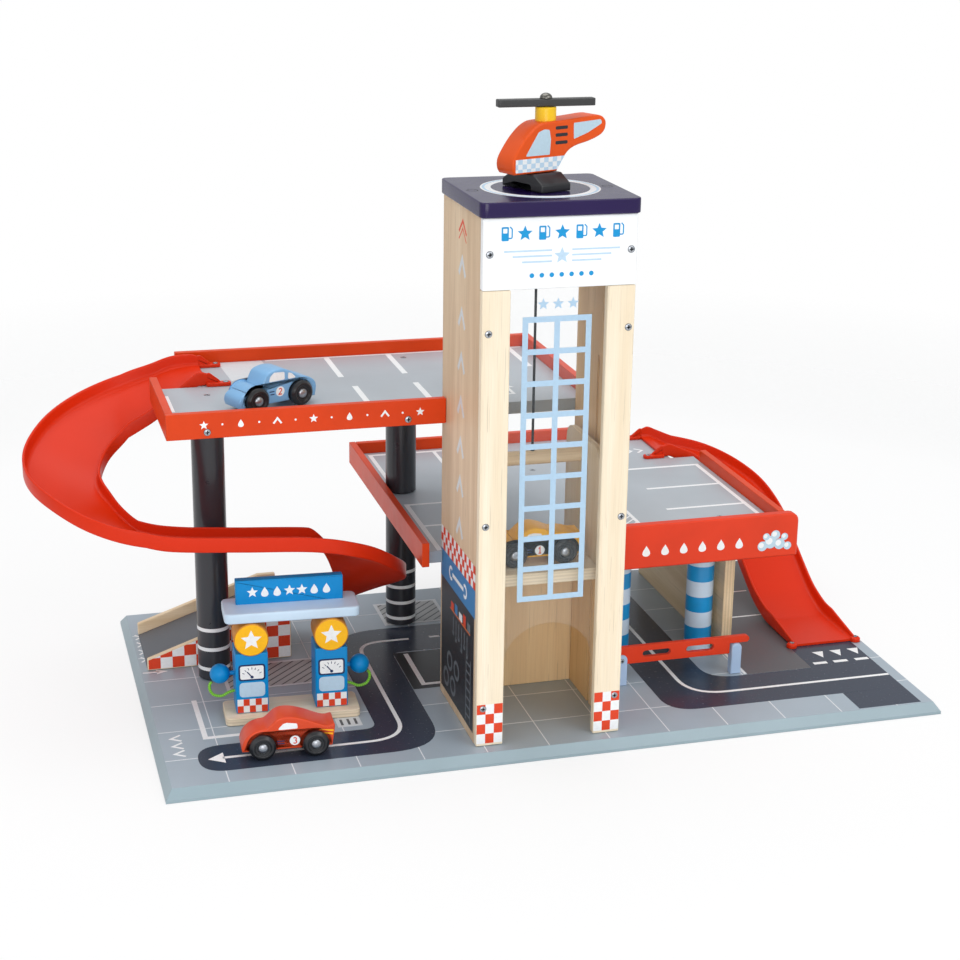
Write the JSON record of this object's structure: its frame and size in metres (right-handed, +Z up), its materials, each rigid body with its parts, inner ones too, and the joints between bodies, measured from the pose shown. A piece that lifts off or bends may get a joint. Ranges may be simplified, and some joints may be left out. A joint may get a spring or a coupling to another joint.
{
  "type": "toy service station",
  "caption": "Wooden toy service station with a wound lift, two parking decks, two slides, a ramp, a car wash, a barrier, a pump island, a helicopter and cars.",
  "frame": {"origin": "centre of the base board's underside", "axes": "+Z up, +Y from the open front of the lift tower towards the back, +X to the right"},
  "size_m": [0.6885, 0.383, 0.4822],
  "materials": {
    "board": "printed grey",
    "deck": "printed grey",
    "wood": "bare",
    "ply": "bare plywood",
    "white": "painted white",
    "aubergine": "painted dark violet",
    "clear": "clear sheet",
    "red": "painted orange-red",
    "moulded_red": "moulded orange-red",
    "black": "painted black",
    "cord": "black cord",
    "blue": "painted mid blue",
    "pale_blue": "painted pale blue",
    "sky_blue": "painted sky blue",
    "yellow": "painted yellow",
    "green": "soft green",
    "tyre": "black"
  },
  "bodies": {
    "station": {"base_board": "board", "tower_left_panel": "wood", "tower_right_panel": "wood", "tower_back_panel": "wood", "tower_back_header": "wood", "tower_front_header": "white", "tower_post_left": "wood", "tower_post_right": "wood", "tower_roof": "aubergine", "lift_window": "clear", "lift_cord": "cord", "upper_deck": "deck", "upper_front_rail": "red", "upper_left_rail": "red", "upper_back_rail": "red", "upper_right_rail": "red", "front_column": "black", "rear_upper_column": "black", "rear_lower_column": "black", "lower_deck": "deck", "lower_left_rail": "red", "lower_back_rail": "red", "lower_right_rail": "red", "wash_sign": "red", "wash_wall": "ply", "barrier_post_left": "pale_blue", "barrier_post_right": "pale_blue", "left_slide": "moulded_red", "right_slide": "moulded_red", "ramp_bed": "board", "ramp_near_guard": "wood", "ramp_far_guard": "wood"},
    "lift": {"lift_floor": "ply", "lift_side_left": "ply", "lift_side_right": "ply", "lift_crossbar": "wood"},
    "winder": {"lift_winder": "wood"},
    "barrier": {"barrier_arm": "red"},
    "roller_left": {"wash_roller_left": "blue"},
    "roller_right": {"wash_roller_right": "blue"},
    "helicopter": {"helicopter_body": "red", "helicopter_skids": "black"},
    "rotor": {"helicopter_rotor": "black"},
    "island": {"island_base": "ply", "pump_left": "blue", "pump_right": "blue", "pump_canopy": "pale_blue"},
    "nozzle_left": {"nozzle_left": "blue", "hose_left": "green"},
    "nozzle_right": {"nozzle_right": "blue", "hose_right": "green"},
    "red_car": {"red_car_body": "red"},
    "red_car_front": {"red_car_front_wheels": "tyre"},
    "red_car_rear": {"red_car_rear_wheels": "tyre"},
    "blue_car": {"blue_car_body": "sky_blue"},
    "blue_car_front": {"blue_car_front_wheels": "tyre"},
    "blue_car_rear": {"blue_car_rear_wheels": "tyre"},
    "yellow_car": {"yellow_car_body": "yellow"},
    "yellow_car_front": {"yellow_car_front_wheels": "tyre"},
    "yellow_car_rear": {"yellow_car_rear_wheels": "tyre"}
  },
  "joints": [
    {"name": "lift_slide", "type": "slide", "parent": "station", "child": "lift", "axis": [0, 0, 1], "range_m": [-0.1195, 0.105], "deforming": ["lift_cord"]},
    {"name": "winder_turn", "type": "hinge", "parent": "station", "child": "winder", "pos_m": [-0.0266, -0.10015, 0.3825], "axis": [0, -1, 0], "range_deg": [-761.8, 669.5]},
    {"name": "barrier_swing", "type": "hinge", "parent": "station", "child": "barrier", "pos_m": [0.069, -0.07435, 0.031], "axis": [0, -1, 0], "range_deg": [0, 85]},
    {"name": "roller_left_spin", "type": "hinge", "parent": "station", "child": "roller_left", "pos_m": [0.0834, -0.02065, 0.0092], "axis": [0, 0, 1], "continuous": true},
    {"name": "roller_right_spin", "type": "hinge", "parent": "station", "child": "roller_right", "pos_m": [0.157, -0.02065, 0.0092], "axis": [0, 0, 1], "continuous": true},
    {"name": "helicopter_lift_off", "type": "slide", "parent": "station", "child": "helicopter", "axis": [0, 0, 1], "range_m": [0, 0.06]},
    {"name": "rotor_spin", "type": "hinge", "parent": "helicopter", "child": "rotor", "pos_m": [-0.0137, -0.10185, 0.4692], "axis": [0, 0, 1], "continuous": true},
    {"name": "island_slide_out", "type": "slide", "parent": "station", "child": "island", "axis": [0, -1, 0], "range_m": [0, 0.018]},
    {"name": "nozzle_left_pull", "type": "slide", "parent": "island", "child": "nozzle_left", "axis": [-0.9981, 0.061, 0], "range_m": [0, 0.004]},
    {"name": "nozzle_right_pull", "type": "slide", "parent": "island", "child": "nozzle_right", "axis": [0.9981, -0.061, 0], "range_m": [0, 0.004]},
    {"name": "red_car_roll", "type": "slide", "parent": "station", "child": "red_car", "axis": [0.9986, -0.0523, 0], "range_m": [-0.04, 0.05]},
    {"name": "red_car_front_turn", "type": "hinge", "parent": "red_car", "child": "red_car_front", "pos_m": [-0.22952, -0.12513, 0.0192], "axis": [0.0523, 0.9986, 0], "range_deg": [-237.3, 296.3]},
    {"name": "red_car_rear_turn", "type": "hinge", "parent": "red_car", "child": "red_car_rear", "pos_m": [-0.19048, -0.12717, 0.0192], "axis": [0.0523, 0.9986, 0], "range_deg": [-237.3, 296.3]},
    {"name": "blue_car_roll", "type": "slide", "parent": "station", "child": "blue_car", "axis": [0.9135, 0.4067, 0], "range_m": [-0.02, 0.06]},
    {"name": "blue_car_front_turn", "type": "hinge", "parent": "blue_car", "child": "blue_car_front", "pos_m": [-0.21756, -0.0266, 0.2537], "axis": [-0.4067, 0.9135, 0], "range_deg": [-119.1, 355.4]},
    {"name": "blue_car_rear_turn", "type": "hinge", "parent": "blue_car", "child": "blue_car_rear", "pos_m": [-0.18184, -0.0107, 0.2537], "axis": [-0.4067, 0.9135, 0], "range_deg": [-119.1, 355.4]},
    {"name": "yellow_car_roll", "type": "slide", "parent": "lift", "child": "yellow_car", "axis": [1, 0, 0], "range_m": [-0.003, 0.004]},
    {"name": "yellow_car_front_turn", "type": "hinge", "parent": "yellow_car", "child": "yellow_car_front", "pos_m": [-0.03785, -0.11565, 0.1487], "axis": [0, 1, 0], "range_deg": [-18.7, 24.6]},
    {"name": "yellow_car_rear_turn", "type": "hinge", "parent": "yellow_car", "child": "yellow_car_rear", "pos_m": [0.00125, -0.11565, 0.1487], "axis": [0, 1, 0], "range_deg": [-18.7, 24.6]}
  ],
  "couplings": [
    {"joint": "winder_turn", "follows": "lift_slide", "rad_per_m": 111.11},
    {"joint": "red_car_front_turn", "follows": "red_car_roll", "rad_per_m": 103.09},
    {"joint": "red_car_rear_turn", "follows": "red_car_roll", "rad_per_m": 103.09},
    {"joint": "blue_car_front_turn", "follows": "blue_car_roll", "rad_per_m": 103.09},
    {"joint": "blue_car_rear_turn", "follows": "blue_car_roll", "rad_per_m": 103.09},
    {"joint": "yellow_car_front_turn", "follows": "yellow_car_roll", "rad_per_m": 103.09},
    {"joint": "yellow_car_rear_turn", "follows": "yellow_car_roll", "rad_per_m": 103.09}
  ]
}
